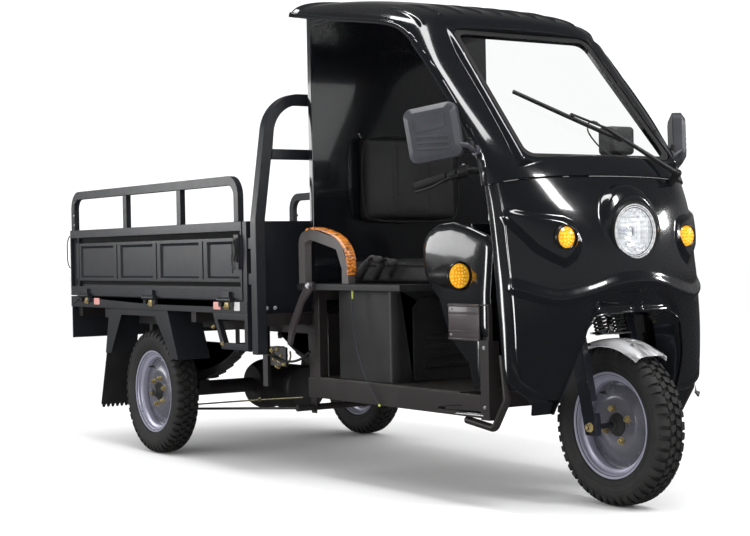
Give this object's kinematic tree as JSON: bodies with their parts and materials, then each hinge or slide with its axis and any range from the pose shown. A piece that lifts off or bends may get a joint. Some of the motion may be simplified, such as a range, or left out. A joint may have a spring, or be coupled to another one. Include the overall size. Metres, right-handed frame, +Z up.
{
  "type": "electric cargo tricycle",
  "caption": "Electric cargo tricycle: steered front wheel, open-sided driver's cab with windshield and roof, and a load bed with drop sides and a tailgate.",
  "frame": {"origin": "on the ground, on the centre line, below the middle of the whole length", "axes": "+X forward, +Y to the vehicle's left, +Z up"},
  "size_m": [3.172, 1.188, 1.7198],
  "materials": {
    "tyre": "matt rubber",
    "rim": "silver paint with a violet tint",
    "chassis_paint": "satin brown-black",
    "spring_steel": "satin black steel",
    "motor_casting": "dark casting",
    "zinc_steel": "dull zinc",
    "bed_paint": "satin grey-black",
    "flap_rubber": "matt",
    "red_lens": "clear red lens",
    "floor_sheet": "worn satin",
    "battery_case": "matt",
    "black_plastic": "fine grain",
    "seat_leather": "black coated fabric",
    "armrest_plastic": "grey with a wood-look pad",
    "gloss_shell": "gloss black",
    "clear_glass": "clear",
    "gasket_rubber": "semi-matt",
    "lamp_glass": "clear lens over a chrome bowl",
    "amber_lens": "clear amber",
    "bright_chrome": "polished",
    "grip_rubber": "ribbed"
  },
  "bodies": {
    "chassis": {"rear_axle": "chassis_paint", "leaf_springs": "spring_steel", "drive_motor": "motor_casting", "brake_linkage": "zinc_steel", "bed_subframe": "chassis_paint", "bed_floor": "bed_paint", "headboard_hoop": "bed_paint", "rear_fenders": "bed_paint", "mud_flaps": "flap_rubber", "side_guards": "bed_paint", "rear_valance": "bed_paint", "tail_lamps": "red_lens", "cab_frame": "chassis_paint", "floor_plate": "floor_sheet", "battery_block": "battery_case", "seat_box": "black_plastic", "seat_cushion": "seat_leather", "seat_back": "seat_leather", "armrests": "armrest_plastic", "parking_brake": "zinc_steel", "back_wall": "gloss_shell", "cab_roof": "gloss_shell", "front_fairing": "gloss_shell", "windshield_frame": "gloss_shell", "windshield": "clear_glass", "windshield_gasket": "gasket_rubber", "leg_shield": "gloss_shell", "headlamp": "lamp_glass", "turn_signals": "amber_lens", "side_lamps": "amber_lens", "wiper_motor": "black_plastic", "wiper": "black_plastic", "mirrors": "black_plastic", "guard_tubes": "chassis_paint", "cab_posts": "chassis_paint"},
    "steering": {"fork": "chassis_paint", "front_shocks": "spring_steel", "front_fender": "bright_chrome", "handlebar": "chassis_paint", "grips": "grip_rubber"},
    "front_wheel": {"front_tyre": "tyre", "front_rim": "rim"},
    "rear_right_wheel": {"rear_right_tyre": "tyre", "rear_right_rim": "rim"},
    "rear_left_wheel": {"rear_left_tyre": "tyre", "rear_left_rim": "rim"},
    "side_right": {"drop_side_right": "bed_paint"},
    "side_left": {"drop_side_left": "bed_paint"},
    "tail_board": {"tailgate": "bed_paint"}
  },
  "joints": [
    {"name": "steer", "type": "hinge", "parent": "chassis", "child": "steering", "pos_m": [1.10976, 0, 0.715], "axis": [-0.342, 0, 0.9397], "range_deg": [-35, 35]},
    {"name": "front_wheel_spin", "type": "hinge", "parent": "steering", "child": "front_wheel", "pos_m": [1.336, 0, 0.25], "axis": [0, 1, 0], "continuous": true},
    {"name": "rear_right_spin", "type": "hinge", "parent": "chassis", "child": "rear_right_wheel", "pos_m": [-0.845, -0.4915, 0.25], "axis": [0, 1, 0], "continuous": true},
    {"name": "rear_left_spin", "type": "hinge", "parent": "chassis", "child": "rear_left_wheel", "pos_m": [-0.845, 0.4915, 0.25], "axis": [0, 1, 0], "continuous": true},
    {"name": "side_right_drop", "type": "hinge", "parent": "chassis", "child": "side_right", "pos_m": [-0.845, -0.585, 0.633], "axis": [1, 0, 0], "range_deg": [0, 180]},
    {"name": "side_left_drop", "type": "hinge", "parent": "chassis", "child": "side_left", "pos_m": [-0.845, 0.585, 0.633], "axis": [-1, 0, 0], "range_deg": [0, 180]},
    {"name": "tailgate_drop", "type": "hinge", "parent": "chassis", "child": "tail_board", "pos_m": [-1.577, 0, 0.633], "axis": [0, -1, 0], "range_deg": [0, 180]}
  ]
}
